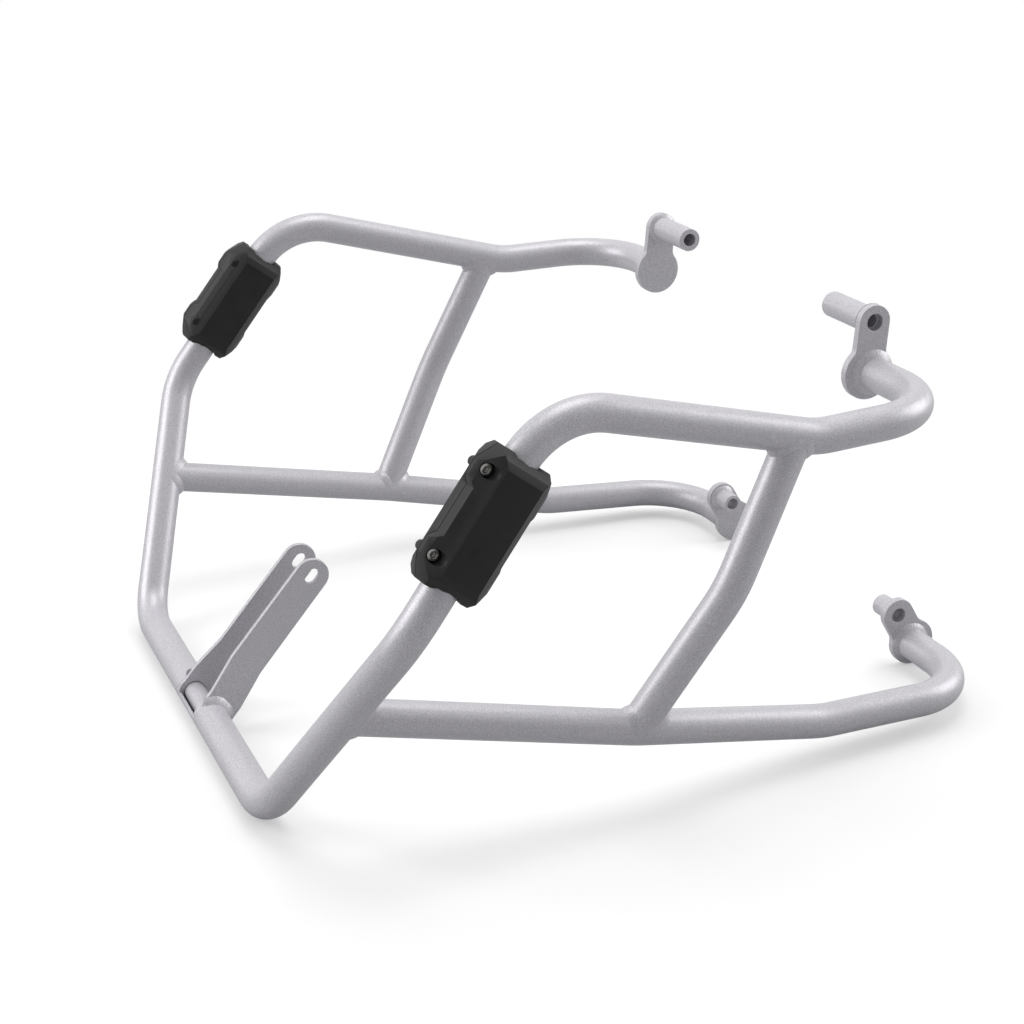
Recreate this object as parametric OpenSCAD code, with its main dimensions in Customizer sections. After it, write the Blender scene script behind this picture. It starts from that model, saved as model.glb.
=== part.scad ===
// Motorcycle crash bars: a bent tube guard for each side of the engine, joined at the front.
// X points to the left side, Y points to the rear, Z points up. The floor is at Z = 0.
// Points of the tubes are where the straight runs of the centre line would meet.
// They are given for the left side as distance from the middle, behind the front cross
// tube and above the floor. The right side is its mirror image.

/* [Tube] */
// Outer diameter of the tubes
tube_od = 25; // [22:0.5:28]
// Wall of the tubes
tube_wall = 2; // [1.5:0.25:3]
// Leg of the fillet welds
weld_leg = 4; // [2:0.5:5]

/* [Main tube] */
// Front lower corner, from the middle
corner_x = 175.5; // [150:0.5:200]
// Knee above the corner, from the middle
knee_x = 294.5; // [280:0.5:310]
// Knee, behind the cross tube
knee_y = 65.5; // [50:0.5:80]
// Knee, above the floor
knee_z = 179.5; // [165:0.5:195]
// Shoulder above the slider, from the middle
shoulder_x = 286; // [270:0.5:300]
// Shoulder, behind the cross tube
shoulder_y = 168.5; // [155:0.5:185]
// Shoulder, above the floor
shoulder_z = 314; // [300:0.5:330]
// Waist where the strut meets the top run, from the middle
waist_x = 272; // [260:0.5:285]
// Waist, behind the cross tube
waist_y = 367.5; // [355:0.5:380]
// Waist, above the floor
waist_z = 260; // [250:0.5:272]
// Upper heel where the tube turns inwards, from the middle
heel_x = 265.5; // [255:0.5:280]
// Upper heel, behind the cross tube
heel_y = 477.5; // [465:0.5:490]
// Upper heel, above the floor
heel_z = 262; // [252:0.5:272]
// Bend radius at the front corner
corner_r = 48; // [40:1:60]
// Bend radius at the knee
knee_r = 60; // [45:1:75]
// Bend radius at the shoulder
shoulder_r = 60; // [45:1:75]
// Bend radius at the waist
waist_r = 80; // [50:1:110]
// Bend radius at the upper heel
heel_r = 60; // [40:1:70]

/* [Lower tube] */
// Where the lower tube leaves the front leg, as a share of the leg
lower_from = 0.58; // [0.48:0.01:0.62]
// Bow where the strut lands, from the middle
bow_x = 256.5; // [245:0.5:268]
// Bow, behind the cross tube
bow_y = 242.5; // [225:0.5:260]
// Bow, above the floor
bow_z = 62; // [52:0.5:72]
// Dip behind the bow, from the middle
dip_x = 245; // [235:0.5:255]
// Dip, behind the cross tube
dip_y = 399.5; // [385:0.5:415]
// Dip, above the floor
dip_z = 27; // [22:0.5:34]
// Lower heel, from the middle
tail_x = 235.5; // [225:0.5:250]
// Lower heel, behind the cross tube
tail_y = 544; // [530:0.5:560]
// Bend radius at the bow and at the dip
bow_r = 110; // [80:1:140]
// Bend radius at the lower heel
tail_r = 60; // [40:1:65]

/* [Strut] */
// Where the strut leaves the top run, as a share of shoulder to waist
strut_from = 0.915; // [0.8:0.005:0.92]
// Bend of the strut, from the middle
strut_x = 281; // [272:0.5:290]
// Bend of the strut, behind the cross tube
strut_y = 300; // [285:0.5:315]
// Bend of the strut, above the floor
strut_z = 163.5; // [150:0.5:175]
// Bend radius of the strut
strut_r = 110; // [80:1:140]

/* [Upper mount] */
// Outer face of the upper plate, from the middle
upper_x = 172; // [160:0.5:185]
// Thickness of the upper plate
upper_t = 6; // [4:0.5:8]
// Radius of the end that carries the tube
upper_big_r = 20; // [19:0.5:23]
// Shift of that end in front of the tube
upper_shift = 3.5; // [0:0.5:3.5]
// Radius of the end with the hole, and half the width of the neck
upper_small_r = 13; // [12:0.5:16]
// Height of the hole above the tube
upper_rise = 38.5; // [34:0.5:46]
// Hole in the upper plate
upper_hole_d = 13; // [12:0.25:14]
// Outer diameter of the upper spacer
upper_spacer_od = 19.5; // [17:0.5:22]
// Bore of the upper spacer
upper_bore_d = 11; // [10:0.25:12]
// Length of the upper spacer
upper_spacer_len = 51.5; // [30:0.5:70]

/* [Lower mount] */
// Outer face of the lower plate, from the middle
lower_x = 147; // [135:0.5:160]
// Thickness of the lower plate
lower_t = 6; // [4:0.5:8]
// Radius of the end that carries the tube and rests on the floor
lower_big_r = 19; // [18:0.5:22]
// Shift of that end behind the tube
lower_shift = 2.5; // [0:0.5:2.5]
// Radius of the end with the hole, and half the width of the neck
lower_small_r = 13.5; // [12:0.5:15]
// Height of the hole above the tube
lower_rise = 26; // [22:0.5:34]
// Distance of the hole in front of the tube
lower_lead = 12.5; // [6:0.5:18]
// Hole in the lower plate
lower_hole_d = 12; // [11:0.25:13]
// Outer diameter of the lower spacer
lower_spacer_od = 17; // [16:0.5:19]
// Bore of the lower spacer
lower_bore_d = 10.5; // [9:0.25:11]
// Length of the lower spacer
lower_spacer_len = 19; // [10:0.5:35]
// Radius of the hollows beside the necks of the plates
hollow_r = 9; // [5:0.5:11]

/* [Front ears] */
// Outer face of the ear at its foot, from the middle
ear_foot_x = 26; // [24:0.5:34]
// Outer face of the ear at its tip, from the middle
ear_tip_x = 18.5; // [14:0.5:22]
// Thickness of the ears
ear_t = 4; // [3:0.5:6]
// Distance from the tube centre to the tip centre
ear_len = 130.5; // [110:0.5:150]
// Slope of the ears above the floor
ear_angle = 49; // [42:1:58]
// Shift of the ear behind the tube centre
ear_shift = 2; // [0:0.5:3]
// Width of the ear at its foot
ear_foot_w = 28; // [26:0.5:32]
// Radius of the ear at its tip
ear_tip_r = 13.5; // [12:0.5:16]
// Flat part of the ear between its weld and its inward joggle
joggle_gap = 1.5; // [0.5:0.5:8]
// Length of the joggle
joggle_len = 29; // [24:1:50]
// Width of the slot in the ear
slot_w = 8.5; // [8:0.5:10.5]
// Overall length of the slot
slot_len = 12.5; // [11:0.5:16]

/* [Front joint] */
// Diameter of the spigot between the ears
spigot_d = 16; // [14:0.5:17.5]
// Clearance round the spigot in the right ear
spigot_fit = 0.3; // [0.15:0.05:0.5]
// How far the spigot reaches into the right tube
spigot_reach = 22; // [10:1:40]
// Clearance between the saddle and the right ear
saddle_fit = 0.3; // [0.1:0.1:0.6]
// Angle at which the saddle starts at the front, from the rear over the top
saddle_from = 172; // [165:1:180]
// Angle that the saddle covers round the spigot
saddle_sweep = 170; // [150:1:180]

/* [Sliders] */
// Length of the slider along the tube
slider_len = 97; // [88:1:110]
// Width across the screw bosses
slider_w = 56.5; // [55:0.5:62]
// Depth of each half from the tube axis
slider_depth = 20; // [18:0.5:23]
// Width of the flat outer face
slider_flat_w = 29; // [26:0.5:32]
// Length of the flat outer face
slider_flat_len = 74; // [66:1:82]
// Gap between the two halves
slider_gap = 0.6; // [0.3:0.1:1]
// Depth of the scallops between the bosses
scallop = 4.75; // [3:0.25:6]
// Distance between the two screws
screw_pitch = 61; // [56:0.5:66]
// Distance of the screws from the tube axis
screw_off = 21; // [20:0.25:22]
// Diameter of the screws
screw_d = 5; // [4:0.5:5]
// Length of the screws under the head
screw_len = 16; // [14:1:17]
// Clearance round the screw shank, on the diameter
screw_fit = 0.5; // [0.3:0.1:1]
// Diameter of the screw pockets
pocket_d = 10; // [9.5:0.25:10.5]
// Height of the screw seat above the tube axis
seat_h = 3; // [2:0.25:4]
// Diameter of the domes over the ends of the screws
dome_d = 7; // [6.5:0.25:8]
// Outer diameter of the threaded inserts
insert_d = 6.5; // [6:0.25:6.5]
// Length of the threaded inserts
insert_len = 6; // [4:0.5:7]

/* [Hidden] */
$fn = 96;

tube_r = tube_od / 2;
bore_r = tube_r - tube_wall;
tail_z = lower_big_r;
// the front of the cross tube and the back of the lower plates are the ends of the object
mid_y = (tail_y + lower_shift + lower_big_r - tube_r) / 2;

// centre lines of the tubes of the left side
main_pts = [
  [ear_foot_x, 0, tube_r],
  [corner_x, 0, tube_r],
  [knee_x, knee_y, knee_z],
  [shoulder_x, shoulder_y, shoulder_z],
  [waist_x, waist_y, waist_z],
  [heel_x, heel_y, heel_z],
  [upper_x, heel_y, heel_z]];
main_radii = [0, corner_r, knee_r, shoulder_r, waist_r, heel_r, 0];
leg_pt = main_pts[1] + lower_from * (main_pts[2] - main_pts[1]);
bow_pt = [bow_x, bow_y, bow_z];
lower_pts = [
  leg_pt,
  bow_pt,
  [dip_x, dip_y, dip_z],
  [tail_x, tail_y, tail_z],
  [lower_x, tail_y, tail_z]];
lower_radii = [0, bow_r, bow_r, tail_r, 0];
run_pt = main_pts[3] + strut_from * (main_pts[4] - main_pts[3]);
strut_pts = [run_pt, [strut_x, strut_y, strut_z], bow_pt];
strut_radii = [0, strut_r, 0];

upper_end = [heel_y - upper_shift, heel_z];
upper_hole = [heel_y, heel_z + upper_rise];
lower_end = [tail_y + lower_shift, tail_z];
lower_hole = [tail_y - lower_lead, tail_z + lower_rise];

joggle_from = tube_r + weld_leg + joggle_gap;
joggle_to = joggle_from + joggle_len;

// the slider sits half way along the straight run between knee and shoulder
slider_mid = (main_pts[2] + main_pts[3]) / 2;
slider_dir = unit(main_pts[2] - main_pts[3]);
half_gap = slider_gap / 2;

// outline of the slider from the side: hollow ends, cut corners and bosses at the screws
end_hollow = 2;
hollow_half = 9;
hollow_ramp = 3;
corner_in = 8;
boss_out = 2.5;
boss_in = 8;
scallop_ramp = 5.5;

// corners of a half's section, as heights above the tube axis and distances from the edge
edge_h = 0.2 * slider_depth;
bevel_h = 0.42 * slider_depth;
bevel_in = 2.5;
inner_bevel_h = 0.5 * slider_depth;
inner_bevel_in = 5;
end_h = 0.55 * slider_depth;
ramp_h = 0.86 * slider_depth;
ramp_len = 5;

// mouth of the slider's bore, which clears the bends of the tube
mouth_len = 8;
mouth_gap = 1;

head_d = 1.7 * screw_d;
head_h = screw_d;
socket_af = 0.8 * screw_d;
socket_depth = 0.5 * head_h;
tip_gap = 0.3;
dome_wall = 1.2;
dome_bevel = 1.6;
hole_end = seat_h - screw_len - tip_gap;
dome_end = hole_end - dome_wall;
key_w = 2;
key_h = 2;
key_len = slider_flat_len * 0.6;
key_off = (tube_r + slider_w / 2 - scallop) / 2;
key_fit = 0.25;
hex_ratio = 1 / cos(30);
past = 1;
hair = 0.1;
cope_fit = 0.05;
bend_lap = 1;
// leg of a saddle shaped weld along the tube that ends there
weld_reach = 0.9 * weld_leg;

light_grey = [0.70, 0.69, 0.72];
dark_grey = [0.16, 0.16, 0.17];
bright = [0.78, 0.78, 0.80];

// vector helpers
function unit(v) = v / norm(v);
function toward(p, q, d) = p + d * unit(q - p);

// length that a bend of radius r at point b takes from each of its straight runs
function turn(a, b, c) = acos(unit(b - a) * unit(c - b));
function setback(a, b, c, r) = r * tan(turn(a, b, c) / 2);
function back_of(pts, radii, i) =
  (i == 0 || i == len(pts) - 1) ? 0 : setback(pts[i - 1], pts[i], pts[i + 1], radii[i]);

// a round bar from p to q, with a bore where r_in is above 0
module bar(p, q, r_out, r_in) {
  d = q - p;
  translate(p)
    rotate([0, acos(d[2] / norm(d)), atan2(d[1], d[0])])
      difference() {
        cylinder(h = norm(d), r = r_out);
        if (r_in > 0) translate([0, 0, -past]) cylinder(h = norm(d) + 2 * past, r = r_in);
      }
}

// a bend of centre radius r at point b, between the runs a to b and b to c
// its wall is a hair thinner than that of the runs, and its ends lie inside their walls
module bend(a, b, c, r, r_out, r_in) {
  u = unit(b - a);
  v = unit(c - b);
  k = unit(cross(u, v));
  start = b - u * setback(a, b, c, r);
  centre = start + r * cross(k, u);
  e1 = unit(start - centre);
  e2 = cross(k, e1);
  lap = atan(bend_lap / r);
  translate(centre)
    rotate([atan2(e2[2], k[2]), -asin(e1[2]), atan2(e1[1], e1[0])])
      rotate([0, 0, -lap])
        rotate_extrude(angle = turn(a, b, c) + 2 * lap)
          translate([r, 0])
            difference() {
              circle(r = r_out - hair);
              if (r_in > 0) circle(r = r_in + hair);
            }
}

// a bent tube along the points, with a bend at each inner point
module bent(pts, radii, r_out, r_in) {
  for (i = [0 : len(pts) - 2])
    bar(
      toward(pts[i], pts[i + 1], back_of(pts, radii, i)),
      toward(pts[i + 1], pts[i], back_of(pts, radii, i + 1)),
      r_out, r_in);
  for (i = [1 : len(pts) - 2])
    bend(pts[i - 1], pts[i], pts[i + 1], radii[i], r_out, r_in);
}

// the tubes of one side, whole and without their bores, to cut and to coat with weld
module leg_bar(r) { bar(main_pts[1], main_pts[2], r, 0); }
module run_bar(r) {
  bent([main_pts[3], main_pts[4], main_pts[5]], [0, waist_r, 0], r, 0);
}
module bow_bar(r) { bent([lower_pts[0], bow_pt, lower_pts[2]], [0, bow_r, 0], r, 0); }

// moves the left side from the points' own frame to the frame of the object
module placed() { translate([0, -mid_y, 0]) children(); }

// mirrors a left piece to the right side
module right() { mirror([1, 0, 0]) children(); }

module main_tube() {
  color(light_grey) placed() bent(main_pts, main_radii, tube_r, bore_r);
}

module lower_tube() {
  color(light_grey) placed() difference() {
    bent(lower_pts, lower_radii, tube_r, bore_r);
    leg_bar(tube_r + cope_fit);
  }
}

module strut() {
  color(light_grey) placed() difference() {
    bent(strut_pts, strut_radii, tube_r, bore_r);
    run_bar(tube_r + cope_fit);
    bow_bar(tube_r + cope_fit);
  }
}

// turns a drawing in Y and Z into a plate whose outer face is at x
module plate_at(x, t) {
  translate([x - t, 0, 0]) rotate([90, 0, 90]) linear_extrude(height = t) children();
}

// outline of a disc at c1 and of a neck with a round end at c2
// round hollows at both sides lead from the neck into the disc
module lug(c1, r1, c2, r2) {
  d = c2 - c1;
  side = r2 + hollow_r;
  rise = sqrt((r1 + hollow_r) ^ 2 - side ^ 2);
  translate(c1) circle(r = r1);
  translate(c2) circle(r = r2);
  translate(c1) rotate([0, 0, atan2(d[1], d[0]) - 90]) {
    polygon([[-r2, 0], [r2, 0], [r2, norm(d)], [-r2, norm(d)]]);
    difference() {
      polygon([[0, 0], [side, rise], [0, rise]]);
      translate([side, rise]) circle(r = hollow_r);
    }
    difference() {
      polygon([[0, 0], [0, rise], [-side, rise]]);
      translate([-side, rise]) circle(r = hollow_r);
    }
  }
}

module upper_plate() {
  color(light_grey) placed() plate_at(upper_x, upper_t) difference() {
    lug(upper_end, upper_big_r, upper_hole, upper_small_r);
    translate(upper_hole) circle(d = upper_hole_d);
  }
}

module lower_plate() {
  color(light_grey) placed() plate_at(lower_x, lower_t) difference() {
    lug(lower_end, lower_big_r, lower_hole, lower_small_r);
    translate(lower_hole) circle(d = lower_hole_d);
  }
}

// a thick walled tube whose outer end is at x and that reaches inwards
module spacer(x, at, od, bore, long) {
  plate_at(x, long) translate(at) difference() {
    circle(d = od);
    circle(d = bore);
  }
}

module upper_spacer() {
  color(light_grey) placed()
    spacer(upper_x - upper_t, upper_hole, upper_spacer_od, upper_bore_d, upper_spacer_len);
}

module lower_spacer() {
  color(light_grey) placed()
    spacer(lower_x - lower_t, lower_hole, lower_spacer_od, lower_bore_d, lower_spacer_len);
}

// frame of an ear: origin on the axis of the cross tube, Z along the ear, Y to its rear
module ear_frame() {
  translate([0, 0, tube_r]) rotate([ear_angle - 90, 0, 0]) children();
}

// outline of the ear in its own frame, with a foot that follows the tube
module ear_outline(hole_r) {
  tip = [ear_shift, ear_len];
  half = ear_foot_w / 2;
  difference() {
    union() {
      circle(r = tube_r);
      translate(tip) circle(r = ear_tip_r);
      polygon([
        [ear_shift - half, 0],
        [ear_shift + half, 0],
        [ear_shift + ear_tip_r, ear_len],
        [ear_shift - ear_tip_r, ear_len]]);
    }
    translate(tip) slot_outline();
    circle(r = hole_r);
  }
}

module slot_outline() {
  reach = (slot_len - slot_w) / 2;
  translate([0, reach]) circle(d = slot_w);
  translate([0, -reach]) circle(d = slot_w);
  square([slot_w, 2 * reach], center = true);
}

// side view of the joggled strip that the ear is cut from
module ear_strip() {
  lean = atan((ear_foot_x - ear_tip_x) / (joggle_to - joggle_from));
  drop = ear_t * tan(lean / 2);
  low = -tube_od;
  high = ear_len + 2 * ear_tip_r;
  polygon([
    [ear_foot_x, low],
    [ear_foot_x, joggle_from],
    [ear_tip_x, joggle_to],
    [ear_tip_x, high],
    [ear_tip_x - ear_t, high],
    [ear_tip_x - ear_t, joggle_to - drop],
    [ear_foot_x - ear_t, joggle_from - drop],
    [ear_foot_x - ear_t, low]]);
}

module ear(hole_r) {
  color(light_grey) placed() ear_frame() intersection() {
    rotate([90, 0, 0])
      linear_extrude(height = 4 * ear_tip_r, center = true) ear_strip();
    plate_at(ear_foot_x + past, ear_foot_x) ear_outline(hole_r);
  }
}

module spigot() {
  color(light_grey) placed()
    bar([ear_foot_x, 0, tube_r], [-ear_foot_x - spigot_reach, 0, tube_r], spigot_d / 2, 0);
}

// half round saddle under the spigot, a piece of the same tube as the bars
module joint_saddle() {
  inner = ear_foot_x - ear_t;
  color(light_grey) placed()
    translate([saddle_fit - inner, 0, tube_r]) rotate([90, 0, 90])
      rotate([0, 0, saddle_from]) rotate_extrude(angle = saddle_sweep)
        translate([bore_r, 0]) square([tube_wall, 2 * inner - saddle_fit]);
}

// ring of weld round a bar of radius r that stands on a face at x, on its outer side
module weld_ring(x, at, r, side, from, sweep) {
  translate([x, at[0], at[1]]) rotate([90, 0, 90]) rotate([0, 0, from])
    rotate_extrude(angle = sweep)
      polygon([[r, 0], [r + weld_leg, 0], [r, side * weld_leg]]);
}

// saddle shaped weld round a bar from p towards q, on the tube that the children draw:
// the first child is that tube grown by the weld, the second is the tube itself
module weld_cope(p, q) {
  end = toward(p, q, 2 * tube_od);
  difference() {
    intersection() {
      bar(p, end, tube_r + weld_reach, 0);
      children(0);
    }
    children(1);
    bar(p, end, tube_r + hair, 0);
  }
}

module lower_tube_weld() {
  color(light_grey) placed() weld_cope(leg_pt, bow_pt) {
    leg_bar(tube_r + weld_leg);
    leg_bar(tube_r);
  }
}

module strut_top_weld() {
  color(light_grey) placed() weld_cope(run_pt, strut_pts[1]) {
    run_bar(tube_r + weld_leg);
    run_bar(tube_r);
  }
}

module strut_foot_weld() {
  color(light_grey) placed() weld_cope(bow_pt, strut_pts[1]) {
    bow_bar(tube_r + weld_leg);
    bow_bar(tube_r);
  }
}

// welds at the ear, at both plates and at both spacers
module plate_welds(with_spigot) {
  reach = 120;
  from = ear_angle - reach / 2;
  color(light_grey) placed() {
    weld_ring(ear_foot_x, [0, tube_r], tube_r, 1, from, reach);
    if (with_spigot)
      weld_ring(ear_foot_x - ear_t, [0, tube_r], spigot_d / 2, -1, from, reach);
    weld_ring(upper_x, [heel_y, heel_z], tube_r, 1, 0, 360);
    weld_ring(lower_x, [tail_y, tail_z], tube_r, 1, 0, 360);
    weld_ring(upper_x - upper_t, upper_hole, upper_spacer_od / 2, -1, 0, 360);
    weld_ring(lower_x - lower_t, lower_hole, lower_spacer_od / 2, -1, 0, 360);
  }
}

// frame of the slider: Z down along the tube, X out of the side, Y to the front
module slider_frame() {
  d = slider_dir;
  out = unit([1, 0, 0] - d[0] * d);
  front = cross(d, out);
  placed() translate(slider_mid)
    rotate([atan2(front[2], d[2]), -asin(out[2]), atan2(out[1], out[0])])
      children();
}

// outline of the slider seen from the side, Y to the front and Z along the tube
module slider_plan() {
  e = slider_len / 2;
  w = slider_w / 2;
  boss = screw_pitch / 2;
  ramp = hollow_half + hollow_ramp;
  quarter = [
    [hollow_half, e - end_hollow], [ramp, e], [w - corner_in, e], [w, boss + boss_out],
    [w, boss - boss_in], [w - scallop, boss - boss_in - scallop_ramp]];
  last = len(quarter) - 1;
  polygon(concat(
    quarter,
    [for (i = [last : -1 : 0]) [quarter[i][0], -quarter[i][1]]],
    [for (i = [0 : last]) [-quarter[i][0], -quarter[i][1]]],
    [for (i = [last : -1 : 0]) [-quarter[i][0], quarter[i][1]]]));
}

// cross section of the outer half, X out of the side and Y to the front
module outer_section() {
  w = slider_w / 2;
  f = slider_flat_w / 2;
  t = slider_depth;
  polygon([
    [half_gap, w], [edge_h, w], [bevel_h, w - bevel_in], [t, f],
    [t, -f], [bevel_h, bevel_in - w], [edge_h, -w], [half_gap, -w]]);
}

// cross section of the inner half, drawn on the outer side
module inner_section() {
  w = slider_w / 2;
  f = slider_flat_w / 2;
  t = slider_depth;
  polygon([
    [half_gap, w], [inner_bevel_h, w - inner_bevel_in], [t, f],
    [t, -f], [inner_bevel_h, inner_bevel_in - w], [half_gap, -w]]);
}

// side profile of a half, X out of the side and Z along the tube
module slider_profile() {
  e = slider_len / 2;
  f = slider_flat_len / 2;
  t = slider_depth;
  polygon([
    [half_gap, e], [end_h, e], [ramp_h, f + ramp_len], [t, f],
    [t, -f], [ramp_h, -f - ramp_len], [end_h, -e], [half_gap, -e]]);
}

// the block of a half before its bore and pockets, with the section that the child draws
module slider_block() {
  long = slider_len + 2 * past;
  intersection() {
    rotate([90, 0, 90]) linear_extrude(height = slider_depth) slider_plan();
    translate([0, 0, -long / 2]) linear_extrude(height = long) children();
    rotate([90, 0, 0]) linear_extrude(height = slider_w, center = true) slider_profile();
  }
}

module at_screws() {
  for (end = [-1, 1]) translate([0, screw_off, end * screw_pitch / 2]) children();
}

// a round hole or pin along X from x = low to x = high
module x_bore(low, high, d) {
  translate([low, 0, 0]) rotate([0, 90, 0]) cylinder(h = high - low, d = d);
}

// a six sided prism along X from x = low to x = high
module x_hex(low, high, af) {
  translate([low, 0, 0]) rotate([0, 90, 0])
    cylinder(h = high - low, d = af * hex_ratio, $fn = 6);
}

// a pin along X whose low end is bevelled, turned in one piece
module x_dome(low, high, d) {
  r = d / 2;
  translate([low, 0, 0]) rotate([0, 90, 0]) rotate_extrude()
    polygon([
      [0, 0], [r - dome_bevel, 0], [r - 0.3 * dome_bevel, 0.4 * dome_bevel],
      [r, dome_bevel], [r, high - low], [0, high - low]]);
}

// bore for the tube, which opens out at both ends
module tube_bore() {
  e = slider_len / 2;
  translate([0, 0, -e - past]) cylinder(h = slider_len + 2 * past, r = tube_r + cope_fit);
  for (end = [-1, 1])
    translate([0, 0, end * e]) cylinder(h = 2 * mouth_len, r = tube_r + mouth_gap, center = true);
}

module slider_outer() {
  fit = 2 * key_fit;
  color(dark_grey) slider_frame() difference() {
    slider_block() outer_section();
    tube_bore();
    at_screws() {
      x_bore(0, slider_depth + past, screw_d + screw_fit);
      x_bore(seat_h, slider_depth + past, pocket_d);
    }
    translate([0, -key_off, 0])
      cube([2 * (half_gap + key_h + key_fit), key_w + fit, key_len + fit], center = true);
  }
}

module slider_inner() {
  color(dark_grey) slider_frame() {
    difference() {
      union() {
        mirror([1, 0, 0]) slider_block() inner_section();
        at_screws() x_dome(dome_end, -half_gap, dome_d);
      }
      tube_bore();
      at_screws() {
        x_bore(hole_end, past, screw_d);
        x_bore(-half_gap - insert_len, past, insert_d);
      }
    }
    translate([-half_gap, -key_off - key_w / 2, -key_len / 2])
      cube([slider_gap + key_h, key_w, key_len]);
  }
}

module slider_screws() {
  color(bright) slider_frame() at_screws() difference() {
    union() {
      x_bore(seat_h, seat_h + head_h, head_d);
      x_bore(seat_h - screw_len, seat_h, screw_d);
    }
    x_hex(seat_h + head_h - socket_depth, seat_h + head_h + past, socket_af);
  }
}

// threaded inserts that are moulded into the inner half
module slider_inserts() {
  color(bright) slider_frame() at_screws() difference() {
    x_bore(-half_gap - insert_len, -half_gap, insert_d);
    x_bore(-half_gap - insert_len - past, past, screw_d);
  }
}

main_tube();  // left_main_tube
lower_tube();  // left_lower_tube
strut();  // left_strut
ear(spigot_d / 2);  // left_ear
upper_plate();  // left_upper_plate
upper_spacer();  // left_upper_spacer
lower_plate();  // left_lower_plate
lower_spacer();  // left_lower_spacer
lower_tube_weld();  // left_lower_tube_weld
strut_top_weld();  // left_strut_top_weld
strut_foot_weld();  // left_strut_foot_weld
plate_welds(true);  // left_plate_welds
slider_outer();  // left_slider_outer
slider_inner();  // left_slider_inner
slider_screws();  // left_slider_screws
slider_inserts();  // left_slider_inserts
right() main_tube();  // right_main_tube
right() lower_tube();  // right_lower_tube
right() strut();  // right_strut
right() ear(spigot_d / 2 + spigot_fit);  // right_ear
right() upper_plate();  // right_upper_plate
right() upper_spacer();  // right_upper_spacer
right() lower_plate();  // right_lower_plate
right() lower_spacer();  // right_lower_spacer
right() lower_tube_weld();  // right_lower_tube_weld
right() strut_top_weld();  // right_strut_top_weld
right() strut_foot_weld();  // right_strut_foot_weld
right() plate_welds(false);  // right_plate_welds
right() slider_outer();  // right_slider_outer
right() slider_inner();  // right_slider_inner
right() slider_screws();  // right_slider_screws
right() slider_inserts();  // right_slider_inserts
spigot();
joint_saddle();
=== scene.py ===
import math
from contextlib import contextmanager
import bmesh
import bpy
import numpy as np
from mathutils import Matrix


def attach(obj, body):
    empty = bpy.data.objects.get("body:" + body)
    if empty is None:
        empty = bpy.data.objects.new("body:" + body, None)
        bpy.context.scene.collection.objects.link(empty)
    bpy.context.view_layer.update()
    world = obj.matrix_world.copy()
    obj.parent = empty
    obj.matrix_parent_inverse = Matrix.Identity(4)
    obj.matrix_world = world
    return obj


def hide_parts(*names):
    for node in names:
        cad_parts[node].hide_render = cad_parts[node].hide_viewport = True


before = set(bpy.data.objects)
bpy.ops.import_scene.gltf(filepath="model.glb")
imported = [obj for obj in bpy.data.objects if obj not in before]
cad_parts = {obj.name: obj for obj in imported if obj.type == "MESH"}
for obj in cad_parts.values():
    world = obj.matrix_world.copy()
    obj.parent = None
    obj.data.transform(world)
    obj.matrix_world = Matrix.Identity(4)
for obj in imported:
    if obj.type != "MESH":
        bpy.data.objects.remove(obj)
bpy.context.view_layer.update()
print("frame loaded:", len(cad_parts), "nodes")

mm = 0.001
sides = {"left": 1, "right": -1}

# the tube that all bars are bent from, in mm, with that many points round it and a ring at every
# arcStep degrees of a bend
barStock = dict(radius=12.5, wall=2.0, segments=72, arcStep=3.0)
middleY = 276.5  # mm from the cross tube's axis to the middle of the object


# each vector divided by its length
def unit(v):
    v = np.asarray(v, float)
    return v / np.linalg.norm(v, axis=-1, keepdims=True)


# the dot product of each pair of vectors, kept as a last axis of one
def dots(a, b):
    return np.sum(a * b, axis=-1, keepdims=True)


# each vector less its part along a unit direction
def squareTo(direction, v):
    return v - dots(v, direction) * direction


# bars' own mm, from the middle of the cross tube, to the row frame in metres
def rowFrame(points, side):
    moved = (np.asarray(points, float) - [0.0, middleY, 0.0]) * mm
    return moved * [side, 1, 1]


# quads between neighbouring points of a grid that is rows by cols, wrapped if asked
def gridFaces(rows, cols, closeRows, closeCols):
    r = np.arange(rows if closeRows else rows - 1)
    c = np.arange(cols if closeCols else cols - 1)
    i, j = np.meshgrid(r, c, indexing="ij")
    ni, nj = (i + 1) % rows, (j + 1) % cols
    quads = np.stack([i * cols + j, ni * cols + j, ni * cols + nj, i * cols + nj], axis=-1)
    return quads.reshape(-1, 4)


# a node's name in camelCase, for the piece that stands in its place
def pieceName(node):
    first, *others = node.split("_")
    return first + "".join(word.title() for word in others)


# a new object in the scene
def linked(name, data):
    made = bpy.data.objects.new(name, data)
    bpy.context.scene.collection.objects.link(made)
    return made


# a mesh opened for editing, and written back afterwards
@contextmanager
def opened(mesh):
    bm = bmesh.new()
    bm.from_mesh(mesh)
    yield bm
    bm.to_mesh(mesh)
    bm.free()


# a mesh object from (points in metres, faces) pairs, with doubles merged and normals outwards.
# Edges between faces that turn more than sharpAngle degrees stay sharp.
def pieceFrom(name, parts, sharpAngle=35.0, mergeWithin=1e-7):
    verts, faces, base = [], [], 0
    for v, f in parts:
        verts.append(v)
        faces += [tuple(int(k) + base for k in row) for row in f]
        base += len(v)
    mesh = bpy.data.meshes.new(name)
    mesh.from_pydata(np.vstack(verts).tolist(), [], faces)
    mesh.validate()
    piece = linked(name, mesh)
    with opened(mesh) as bm:
        bmesh.ops.remove_doubles(bm, verts=bm.verts, dist=mergeWithin)
        bmesh.ops.recalc_face_normals(bm, faces=bm.faces)
    mesh.shade_smooth()
    mesh.set_sharp_from_angle(angle=math.radians(sharpAngle))
    return piece


# shader maths: a node's output that can be added, subtracted and multiplied

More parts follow.
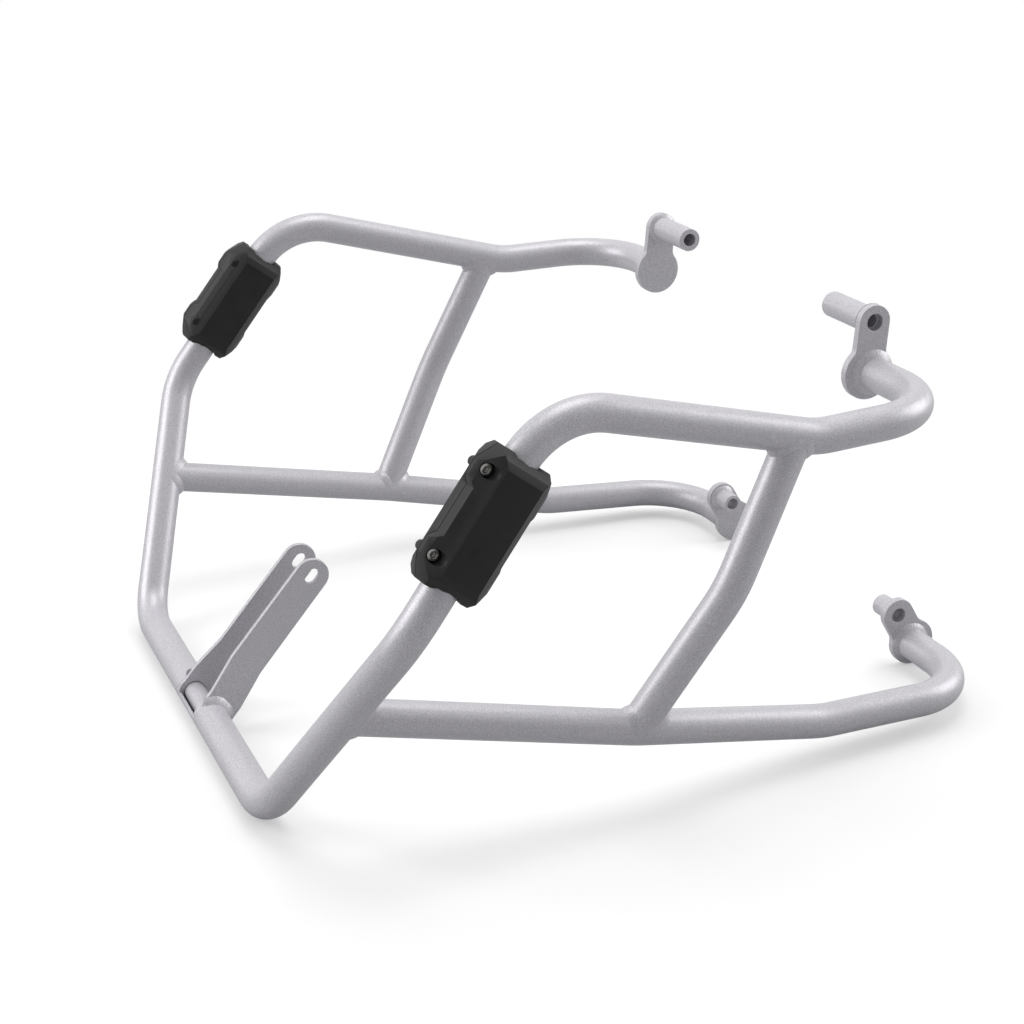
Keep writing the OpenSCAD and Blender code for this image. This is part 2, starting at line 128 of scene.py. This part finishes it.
class Socket:
    def __init__(self, maker, socket):
        self.maker, self.socket = maker, socket

    def maths(self, operation, *values):
        return self.maker.node("ShaderNodeMath", dict(enumerate(values)), operation=operation)

    def __add__(self, other): return self.maths("ADD", self, other)
    def __radd__(self, other): return self.maths("ADD", other, self)
    def __sub__(self, other): return self.maths("SUBTRACT", self, other)
    def __rsub__(self, other): return self.maths("SUBTRACT", other, self)
    def __mul__(self, other): return self.maths("MULTIPLY", self, other)
    def __rmul__(self, other): return self.maths("MULTIPLY", other, self)


# builds the nodes of one material or world. node() adds any node: its settings are set first,
# then the values or links of its inputs.
class Maker:
    def __init__(self, owner):
        owner.use_nodes = True
        self.owner, self.tree = owner, owner.node_tree
        self.tree.nodes.clear()

    def node(self, kind, inputs=None, out=0, **settings):
        made = self.tree.nodes.new(kind)
        for key, value in settings.items():
            setattr(made, key, value)
        for key, value in (inputs or {}).items():
            if isinstance(value, Socket):
                self.tree.links.new(value.socket, made.inputs[key])
            else:
                made.inputs[key].default_value = value
        return Socket(self, made.outputs[out]) if made.outputs else None

    # the piece's own Object coordinates
    def place(self):
        return self.node("ShaderNodeTexCoord", out=3)

    def noise(self, scale, detail, roughness):
        return self.node("ShaderNodeTexNoise", {"Vector": self.place(), "Scale": scale,
                                                "Detail": detail, "Roughness": roughness})

    # the first colour where the share is 0, the second where it is 1
    def blend(self, share, first, second):
        return self.node("ShaderNodeMix", {0: share, 6: first, 7: second}, out=2,
                         data_type="RGBA")

    # runs from start to end while the value runs from low to high, and stays between them
    def spread(self, value, low, high, start=0.0, end=1.0, curve="LINEAR"):
        return self.node("ShaderNodeMapRange", {"Value": value, "From Min": low, "From Max": high,
                                                "To Min": start, "To Max": end},
                         interpolation_type=curve)

    def bump(self, height, strength, depth):
        return self.node("ShaderNodeBump", {"Height": height, "Strength": strength,
                                            "Distance": depth})

    def finish(self, surface, output="ShaderNodeOutputMaterial"):
        self.node(output, {"Surface": surface})
        return self.owner


# finishes. grain and cloud are noises, each a scale, detail and roughness. The cloud roughens
# patches of the surface, and the grain bumps it by depth in metres. specks and shades are the
# stretch of a noise over which the colour goes from dark to light.

# light grey powder coat: satin, with a fine grain of lighter and darker specks
coatLook = dict(light=(0.655, 0.64, 0.675, 1), dark=(0.43, 0.42, 0.45, 1), metallic=0.3,
                grain=(1400.0, 2.0, 0.7), cloud=(45.0, 3.0, 0.6), specks=(0.38, 0.62),
                rough=0.34, patches=0.10, bump=0.5, depth=0.00014)


def powderCoat():
    m, look = Maker(bpy.data.materials.new("powderCoat")), coatLook
    grain, cloud = m.noise(*look["grain"]), m.noise(*look["cloud"])
    colour = m.blend(m.spread(grain, *look["specks"]), look["dark"], look["light"])
    return m.finish(m.node("ShaderNodeBsdfPrincipled", {
        "Base Color": colour, "Metallic": look["metallic"],
        "Roughness": look["rough"] + look["patches"] * cloud,
        "Normal": m.bump(grain, look["bump"], look["depth"])}))


# black moulded plastic with a spark eroded surface
plasticLook = dict(light=(0.017, 0.017, 0.0175, 1), dark=(0.011, 0.011, 0.0115, 1), specular=0.3,
                   grain=(2200.0, 2.0, 0.6), cloud=(60.0, 3.0, 0.6), shades=(0.3, 0.7),
                   rough=0.40, patches=0.12, bump=0.25, depth=0.00006)


def sliderPlastic():
    m, look = Maker(bpy.data.materials.new("sliderPlastic")), plasticLook
    grain, cloud = m.noise(*look["grain"]), m.noise(*look["cloud"])
    colour = m.blend(m.spread(cloud, *look["shades"]), look["dark"], look["light"])
    return m.finish(m.node("ShaderNodeBsdfPrincipled", {
        "Base Color": colour, "Specular IOR Level": look["specular"],
        "Roughness": look["rough"] + look["patches"] * cloud,
        "Normal": m.bump(grain, look["bump"], look["depth"])}))


# bright zinc on the screws and threaded inserts
zincLook = dict(light=(0.66, 0.65, 0.62, 1), dark=(0.40, 0.39, 0.37, 1),
                cloud=(700.0, 3.0, 0.6), rough=0.16, patches=0.12)


def screwSteel():
    m, look = Maker(bpy.data.materials.new("screwSteel")), zincLook
    cloud = m.noise(*look["cloud"])
    return m.finish(m.node("ShaderNodeBsdfPrincipled", {
        "Base Color": m.blend(cloud, look["dark"], look["light"]), "Metallic": 1.0,
        "Roughness": look["rough"] + look["patches"] * cloud}))


finishes = {"powder_coat": powderCoat(), "slider_plastic": sliderPlastic(),
            "screw_steel": screwSteel()}
print("finishes made")


# gives a piece its finish and puts it in the place of a node
def dress(piece, slotName, node):
    piece.data.materials.clear()
    piece.data.materials.append(finishes[slotName])
    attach(piece, "root")
    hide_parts(node)


# a powder coated piece from (points in mm, faces) pairs, in the place of a side's node
def coatedPiece(node, side, parts, sharpAngle=35.0):
    placed = [(rowFrame(points, side), faces) for points, faces in parts]
    dress(pieceFrom(pieceName(node), placed, sharpAngle), "powder_coat", node)


# bent tubes: straight runs joined by arcs, as the centre line of the bender gives them

# moves the points of an end ring along its heading onto a cylinder round the axis. The way there
# is the far root of the quadratic that sets the distance from the axis to the radius.
def copedTo(ring, heading, axisPoint, axisDir, radius):
    fromAxis, ahead = squareTo(axisDir, ring - axisPoint), squareTo(axisDir, heading)
    a = np.dot(ahead, ahead)
    b = dots(fromAxis, ahead)[..., 0]
    c = dots(fromAxis, fromAxis)[..., 0] - radius ** 2
    way = (-b + np.sqrt(np.maximum(b * b - a * c, 0))) / a
    return ring + way[:, None] * heading


# centre line through the points, each inner one rounded by an arc of its radius: the arc starts
# and ends its radius times the tangent of half the turn away from the point. Gives the positions
# and the unit directions.
def bentLine(points, radii):
    p = np.asarray(points, float)
    line, heading = [p[0]], [unit(p[1] - p[0])]
    for k in range(1, len(p) - 1):
        u, v = unit(p[k] - p[k - 1]), unit(p[k + 1] - p[k])
        turn = math.acos(float(np.dot(u, v)))
        start = p[k] - u * radii[k] * math.tan(turn / 2)
        inward = unit(squareTo(u, v))
        rings = int(math.degrees(turn) / barStock["arcStep"]) + 2
        a = np.linspace(0, turn, rings)[:, None]
        line += list(start + radii[k] * (np.sin(a) * u + (1 - np.cos(a)) * inward))
        heading += list(np.cos(a) * u + np.sin(a) * inward)
    line.append(p[-1])
    heading.append(unit(p[-1] - p[-2]))
    return np.array(line), np.array(heading)


# circles of that radius across the line, as an array of rings by points. Each circle starts
# square to its heading and to the reference.
def ringsAlong(line, heading, radius, reference):
    across = unit(np.cross(heading, reference))[:, None]
    other = np.cross(heading[:, None], across)
    a = np.linspace(0, 2 * math.pi, barStock["segments"], endpoint=False)[None, :, None]
    return line[:, None] + radius * (across * np.cos(a) + other * np.sin(a))


# a tube with its bore: the outer rings out along the bent line, and the bore's rings back.
# startOn and endOn are the (point, direction) of a tube that the end is coped to.
def bentTube(points, bar, startOn=None, endOn=None):
    outer = barStock["radius"]
    line, heading = bentLine(points, bar["radii"])
    walls = []
    for r in (outer, outer - barStock["wall"]):
        rings = ringsAlong(line, heading, r, bar["reference"])
        if startOn:
            rings[0] = copedTo(rings[0], heading[0], *startOn, outer)
        if endOn:
            rings[-1] = copedTo(rings[-1], -heading[-1], *endOn, outer)
        walls.append(rings)
    grid = np.concatenate([walls[0], walls[1][::-1]])
    return grid.reshape(-1, 3), gridFaces(len(grid), barStock["segments"], True, True)


# fillet welds: a convex bead along the line where two surfaces meet. All lengths are in mm.

weldStyle = dict(
    leg=4.0, flange=1.3,          # reach on each surface, and how many times that on a plate
    crown=0.07, roundness=0.8,    # bulge as a share of the leg, and the power of its sine
    pitch=2.4, ripple=0.12,       # from ripple to ripple, and their height
    waves=(2, 3, 5), swell=0.06,  # slow waves in a whole run, and their share of the leg
    taper=14, thinEnd=0.05,       # an open bead grows to the full leg over 1/14 of its run
    root=0.35, sunk=0.08,         # depth of the root, and of the toes in the run tube
    profile=9, step=0.5,          # points across a bead, and mm from point to point of a ring
    copePoints=150, smoothing=4,  # points round a cope, and how many neighbours smooth each toe
    edgeOn=0.25,                  # least part of a spoke that tells which way a toe goes
    sharpAngle=60.0)              # degrees, past which the edges of a bead stay sharp


# a bead along the curve. Its toes lie one leg away from the curve on each surface, and between
# them it bulges outward like a flat arc, with ripples across its run. The leg swells and shrinks
# in slow waves, and grows from the ends of an open bead as a square root. ontoFirst moves the
# first toes onto a surface that isn't flat.
def weldBead(curve, awayFirst, awaySecond, outward, closed, seed, leg, ontoFirst=None):
    rows = len(curve)
    rng = np.random.default_rng(seed)
    steps = np.linalg.norm(np.diff(curve, axis=0), axis=1)
    run = np.concatenate([[0], np.cumsum(steps)])[:, None]
    total = run[-1] + (np.linalg.norm(curve[0] - curve[-1]) if closed else 0)
    share = run / total
    turns = np.round(total / weldStyle["pitch"])
    ripple = np.abs(np.sin(math.pi * share * turns)) - 0.5
    waves = sum(np.sin(2 * math.pi * (k * share + rng.random())) / k for k in weldStyle["waves"])
    size = leg * (1 + weldStyle["swell"] * waves)
    if not closed:
        grown = np.minimum(share, 1 - share) * weldStyle["taper"]
        size = size * np.clip(grown, weldStyle["thinEnd"], 1) ** 0.5
    s = np.linspace(0, 1, weldStyle["profile"])[None, :, None]
    firstToes, secondToes = curve + size * awayFirst, curve + size * awaySecond
    if ontoFirst:
        firstToes = ontoFirst(firstToes)
    flat = (1 - s) * firstToes[:, None] + s * secondToes[:, None]
    hump = np.sin(math.pi * s) ** weldStyle["roundness"]
    lift = (weldStyle["crown"] * size + weldStyle["ripple"] * ripple)[:, None] * hump
    top = flat + lift * outward[:, None]
    root = curve[:, None] - weldStyle["root"] * outward[:, None]
    grid = np.concatenate([top, root], axis=1)
    cols = grid.shape[1]
    faces = list(gridFaces(rows, cols, closed, True))
    if not closed:
        faces += [range(cols), range((rows - 1) * cols, rows * cols)]
    return grid.reshape(-1, 3), faces


# the closed bead where a branch tube lands on a run tube of the same size, with their axes
# crossing at a point: a ring of the branch coped to the run tube. One toe goes up the branch. The
# other goes square to the curve in the run tube's surface, to the side that the branch's spokes
# point to, or away from the branch where less than edgeOn of a spoke lies in that surface.
def copeBead(crossing, branchDir, runDir, seed):
    r = barStock["radius"]
    a = np.linspace(0, 2 * math.pi, weldStyle["copePoints"], endpoint=False)[:, None]
    across = unit(np.cross(branchDir, runDir))
    spoke = across * np.cos(a) + np.cross(branchDir, across) * np.sin(a)
    curve = copedTo(crossing + r * spoke, branchDir, crossing, runDir, r)
    normal = unit(squareTo(runDir, curve - crossing))
    along = unit(np.roll(curve, -1, axis=0) - np.roll(curve, 1, axis=0))
    awayRun = unit(np.cross(along, normal))
    level = squareTo(normal, spoke)
    longEnough = np.linalg.norm(level, axis=1, keepdims=True) > weldStyle["edgeOn"]
    awayRun *= np.sign(dots(awayRun, np.where(longEnough, level, -branchDir)))
    near = range(-weldStyle["smoothing"], weldStyle["smoothing"] + 1)
    awayRun = unit(sum(np.roll(awayRun, k, axis=0) for k in near))
    awayBranch = np.repeat(branchDir[None], len(a), axis=0)

    def ontoRun(points):
        fromAxis = squareTo(runDir, points - crossing)
        return points - fromAxis + (r - weldStyle["sunk"]) * unit(fromAxis)

    return weldBead(curve, awayRun, awayBranch, unit(normal + spoke), True, seed,
                    weldStyle["leg"], ontoRun)


# the bead round a bar of that radius that stands on a flat face whose normal lies along X: points
# on a circle from start degrees over a sweep of degrees
def ringBead(centre, radius, faceNormal, seed, leg=weldStyle["leg"], start=0.0, sweep=360.0):
    closed = sweep >= 360
    n = int(radius * math.radians(sweep) / weldStyle["step"])
    a = np.radians(start + np.linspace(0, sweep, n, endpoint=not closed))
    spoke = np.stack([np.zeros(n), np.cos(a), np.sin(a)], axis=1)
    curve = np.asarray(centre, float) + radius * spoke
    face = np.repeat(np.array([[faceNormal, 0.0, 0.0]]), n, axis=0)
    return weldBead(curve, weldStyle["flange"] * spoke, face, unit(spoke + face), closed, seed,
                    leg)


# the bars: points of the centre lines in mm, with the bend radius at each. A bar leaves another
# at a share of one of its straight runs: the lower tube the front leg, and the strut the top run.

mainBar = dict(
    points=[(26, 0, 12.5), (175.5, 0, 12.5), (294.5, 65.5, 179.5), (286, 168.5, 314),
            (272, 367.5, 260), (265.5, 477.5, 262), (172, 477.5, 262)],
    radii=[0, 48, 60, 60, 80, 60, 0], reference=(0.0, -0.5, 0.85))
lowerBar = dict(
    leaves=0.58,
    points=[(256.5, 242.5, 62), (245, 399.5, 27), (235.5, 544, 19), (147, 544, 19)],
    radii=[0, 110, 110, 60, 0], reference=(0.0, 0.0, 1.0))
strutBar = dict(
    leaves=0.915, bend=(281, 300, 163.5),
    radii=[0, 110, 0], reference=(1.0, 0.0, 0.0))


# three tubes and the three beads where they meet, on each side. The strut's foot stands where the
# lower tube first bends.
def makeBars():
    main = np.array(mainBar["points"], float)
    bend = np.array(strutBar["bend"], float)
    foot = np.array(lowerBar["points"][0], float)
    legPoint = main[1] + lowerBar["leaves"] * (main[2] - main[1])
    topPoint = main[3] + strutBar["leaves"] * (main[4] - main[3])
    legDir, topDir = unit(main[2] - main[1]), unit(main[4] - main[3])
    lowerDir = unit(foot - legPoint)
    tubes = {
        "main_tube": bentTube(main, mainBar),
        "lower_tube": bentTube([legPoint, *lowerBar["points"]], lowerBar,
                               startOn=(legPoint, legDir)),
        "strut": bentTube([topPoint, bend, foot], strutBar, startOn=(topPoint, topDir),
                          endOn=(foot, lowerDir))}
    beads = {
        "lower_tube_weld": copeBead(legPoint, lowerDir, legDir, 1),
        "strut_top_weld": copeBead(topPoint, unit(bend - topPoint), topDir, 2),
        "strut_foot_weld": copeBead(foot, unit(bend - foot), lowerDir, 3)}
    for name, side in sides.items():
        for part, tube in tubes.items():
            coatedPiece(name + "_" + part, side, [tube])
        for part, bead in beads.items():
            coatedPiece(name + "_" + part, side, [bead], weldStyle["sharpAngle"])
    print("bars bent and coped")


makeBars()


# plates, ears, spacers and sliders keep their solids' shapes, with broken edges

# finish of each fitting, and the width of its broken edges in mm
sideFittings = {
    "ear": ("powder_coat", 0.45),
    "upper_plate": ("powder_coat", 0.45), "lower_plate": ("powder_coat", 0.45),
    "upper_spacer": ("powder_coat", 0.5), "lower_spacer": ("powder_coat", 0.5),
    "slider_outer": ("slider_plastic", 0.8), "slider_inner": ("slider_plastic", 0.8),
    "slider_screws": ("screw_steel", 1.0), "slider_inserts": ("screw_steel", 0.3)}
jointFittings = {"spigot": ("powder_coat", 0.4), "joint_saddle": ("powder_coat", 0.4)}

# points closer than merge metres become one, and so do faces that turn less than flat degrees.
# Edges that turn more than fromAngle degrees are rounded in that many segments.
edgeStyle = dict(merge=1e-6, flat=1.0, fromAngle=25.0, segments=3, sharpAngle=40.0)

# planes that cut the sliders' four corners. In mm and degrees: they face turn degrees away from
# the tube's line, reach is how far from the slider's middle they stand where the halves meet, and
# leans how much nearer they come for each mm outwards.
sliderCuts = dict(middle=(290.25, 117.0, 246.75), turn=59.0, reach=41.6,
                  leans={"slider_outer": 0.17, "slider_inner": -0.20})


# cuts the four corners of a slider's half with leaning planes, and closes each cut
def cutCorners(mesh, side, lean):
    main = np.array(mainBar["points"], float)
    along = unit(main[2] - main[3])
    out = unit(squareTo(along, np.array([1.0, 0.0, 0.0])))
    front = np.cross(along, out)
    turn = math.radians(sliderCuts["turn"])
    middle = rowFrame([sliderCuts["middle"]], side)[0]
    with opened(mesh) as bm:
        for fore, end in ((-1, -1), (-1, 1), (1, -1), (1, 1)):
            across = fore * math.sin(turn) * front + end * math.cos(turn) * along
            cut = bmesh.ops.bisect_plane(
                bm, geom=bm.verts[:] + bm.edges[:] + bm.faces[:], clear_outer=True,
                plane_co=middle + sliderCuts["reach"] * mm * across * [side, 1, 1],
                plane_no=unit((across + lean * out) * [side, 1, 1]))
            rim = [g for g in cut["geom_cut"] if isinstance(g, bmesh.types.BMEdge)]
            bmesh.ops.contextual_create(bm, geom=rim)


# a copy of a node with its edges rounded by width, in mm
def brokenEdges(node, width):
    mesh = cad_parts[node].data.copy()
    mesh.name = node + "Finished"
    piece = linked(pieceName(node), mesh)
    with opened(mesh) as bm:
        bmesh.ops.remove_doubles(bm, verts=bm.verts, dist=edgeStyle["merge"])
        bmesh.ops.dissolve_limit(bm, angle_limit=math.radians(edgeStyle["flat"]),
                                 verts=bm.verts, edges=bm.edges)
    bevel = piece.modifiers.new("brokenEdge", "BEVEL")
    bevel.width, bevel.segments = width * mm, edgeStyle["segments"]
    bevel.limit_method, bevel.angle_limit = "ANGLE", math.radians(edgeStyle["fromAngle"])
    mesh.shade_smooth()
    mesh.set_sharp_from_angle(angle=math.radians(edgeStyle["sharpAngle"]))
    return piece


# each fitting with its edges broken, the sliders' halves with their corners cut as well
def makeFittings():
    for name, side in sides.items():
        for part, (slotName, width) in sideFittings.items():
            piece = brokenEdges(name + "_" + part, width)
            if part in sliderCuts["leans"]:
                cutCorners(piece.data, side, sliderCuts["leans"][part])
            dress(piece, slotName, name + "_" + part)
    for node, (slotName, width) in jointFittings.items():
        dress(brokenEdges(node, width), slotName, node)
    print("plates, ears, spacers and sliders finished")


makeFittings()


# beads at the ears, plates and spacers, in mm: T is a thickness, R a radius, and a hole's numbers
# are its Y and Z. The ear covers only part of the cross tube's end, so its beads sweep over that
# many degrees about its slope.
plateWelds = dict(earT=4, slope=49, sweep=125, spigotR=8,
                  upperT=6, upperHole=(477.5, 300.5), upperSpacerR=9.75,
                  lowerT=6, lowerHole=(531.5, 45), lowerSpacerR=8.5,
                  lowerLeg=3.3, spacerLeg=2.6)


# a bead where each tube stands on its ear or plate, and one round each spacer on the far face.
# The left ear has one round the spigot as well.
def makePlateWelds():
    w, r = plateWelds, barStock["radius"]
    onEar, onUpper, onLower = mainBar["points"][0], mainBar["points"][-1], lowerBar["points"][-1]
    arc = dict(start=w["slope"] - w["sweep"] / 2, sweep=w["sweep"])
    earBack = (onEar[0] - w["earT"], *onEar[1:])
    upperBack = (onUpper[0] - w["upperT"], *w["upperHole"])
    lowerBack = (onLower[0] - w["lowerT"], *w["lowerHole"])
    both = [ringBead(onEar, r, 1, 4, **arc),
            ringBead(onUpper, r, 1, 5),
            ringBead(onLower, r, 1, 6, w["lowerLeg"]),
            ringBead(upperBack, w["upperSpacerR"], -1, 7, w["spacerLeg"]),
            ringBead(lowerBack, w["lowerSpacerR"], -1, 8, w["spacerLeg"])]
    spigotBead = ringBead(earBack, w["spigotR"], -1, 9, w["spacerLeg"], **arc)
    for name, beads in (("left", [*both, spigotBead]), ("right", both)):
        coatedPiece(name + "_plate_welds", sides[name], beads, weldStyle["sharpAngle"])
    print("plate welds laid")


makePlateWelds()


# turns an object's axes that way and puts it at a place in metres
def stand(thing, right, up, back, place):
    pose = np.eye(4)
    pose[:3] = np.stack([right, up, back, place], axis=1)
    thing.matrix_world = Matrix(pose.tolist())


# camera, from the photograph's own geometry: focal length, centre and frame in pixels, eye in the
# bars' own mm, turns in degrees, clip in metres
photoCamera = dict(focal=1899.733, centre=(522.6, 448.26), frame=1024,
                   eye=(1299.19, -285.21, 683.72), azimuth=66.8668, elevation=-19.6626,
                   roll=-0.68597, sensor=36.0, clip=(0.05, 50.0))


# the level line of sight is +Y turned by the azimuth, raised by the elevation. Right and up are
# then rolled about it.
def makeCamera():
    c = photoCamera
    az, el, roll = (math.radians(c[k]) for k in ("azimuth", "elevation", "roll"))
    forward = np.array([-math.sin(az) * math.cos(el), math.cos(az) * math.cos(el), math.sin(el)])
    right = np.array([math.cos(az), math.sin(az), 0])
    up = np.cross(right, forward)
    data = bpy.data.cameras.new("photoCamera")
    data.sensor_width = c["sensor"]
    data.lens = c["focal"] / c["frame"] * c["sensor"]
    data.shift_x = (c["frame"] / 2 - c["centre"][0]) / c["frame"]
    data.shift_y = (c["centre"][1] - c["frame"] / 2) / c["frame"]
    data.clip_start, data.clip_end = c["clip"]
    camera = linked("photoCamera", data)
    stand(camera, right * math.cos(roll) + up * math.sin(roll),
          up * math.cos(roll) - right * math.sin(roll), -forward, rowFrame([c["eye"]], 1)[0])
    bpy.context.scene.camera = camera


# pale floor, in metres. The camera sees it as paper, and light as the greyer bounce. lift is the
# share of plain white that the camera always sees, which grows to all of it over the fade's
# distances from the middle.
studioFloor = dict(size=12.0, paper=(0.90, 0.90, 0.90, 1), bounce=(0.45, 0.45, 0.455, 1),
                   lift=0.3, fade=(0.42, 0.8))
white = (1, 1, 1, 1)


def makeFloor():
    m, f = Maker(bpy.data.materials.new("studioFloor")), studioFloor
    seen = m.node("ShaderNodeLightPath")  # 1 where the camera looks straight at it
    paper = m.node("ShaderNodeBsdfDiffuse", {"Color": m.blend(seen, f["bounce"], f["paper"])})
    glow = m.node("ShaderNodeEmission", {"Color": white, "Strength": 1.0})
    away = m.node("ShaderNodeVectorMath", {0: m.place()}, out=1, operation="LENGTH")
    far = m.spread(away, *f["fade"], f["lift"], 1.0, "SMOOTHSTEP")
    surface = m.node("ShaderNodeMixShader", {0: seen * far, 1: paper, 2: glow})
    corners = f["size"] / 2 * np.array([(-1, -1, 0), (1, -1, 0), (1, 1, 0), (-1, 1, 0)])
    floor = pieceFrom("studioFloor", [(corners, [(0, 1, 2, 3)])])
    floor.data.materials.append(m.finish(surface))


# round lamps: place and width in metres, and power in watts. They look at a point above the
# middle of the floor.
studioLamps = dict(topBox=((-0.3, 0.3, 2.4), 1.6, 18.0), frontBox=((-0.8, -2.3, 1.3), 1.8, 30.0),
                   rearBox=((0.3, 2.6, 1.2), 1.8, 26.0))
lampAim = (0.0, 0.0, 0.15)


def makeLamps():
    for name, (place, width, power) in studioLamps.items():
        lamp = bpy.data.lights.new(name, "AREA")
        lamp.shape, lamp.size, lamp.energy = "DISK", width, power
        back = unit(np.subtract(place, lampAim))
        right = unit(np.cross([0, 1, 0.01], back))  # any way across the beam does
        stand(linked(name, lamp), right, np.cross(back, right), back, place)


# light tent: its strength grows from the horizon's to the zenith's up to the top, a height on the
# unit sphere. Round the opening's direction it loses the share dim, from the first cosine of the
# edge to the second.
lightTent = dict(horizon=0.75, zenith=0.95, top=0.9,
                 opening=(0.86, -0.36, 0.36), edge=(0.2, 0.9), dim=0.6)


def makeTent():
    sky, t = Maker(bpy.data.worlds.new("studio")), lightTent
    direction = sky.node("ShaderNodeTexCoord")
    height = sky.node("ShaderNodeSeparateXYZ", {0: direction}, out=2)
    tent = sky.spread(height, 0.0, t["top"], t["horizon"], t["zenith"], "SMOOTHSTEP")
    facing = sky.node("ShaderNodeVectorMath", {0: direction, 1: tuple(unit(t["opening"]))},
                      out=1, operation="DOT_PRODUCT")
    gap = sky.spread(facing, *t["edge"], 0.0, t["dim"], "SMOOTHSTEP")
    seen = sky.node("ShaderNodeLightPath")  # the camera itself sees white
    strength = tent * (1 - gap) * (1 - seen) + seen
    surface = sky.node("ShaderNodeBackground", {"Color": white, "Strength": strength})
    bpy.context.scene.world = sky.finish(surface, "ShaderNodeOutputWorld")


makeCamera()
makeFloor()
makeLamps()
makeTent()
bpy.context.scene.view_settings.view_transform = "Standard"
print("camera and studio ready")
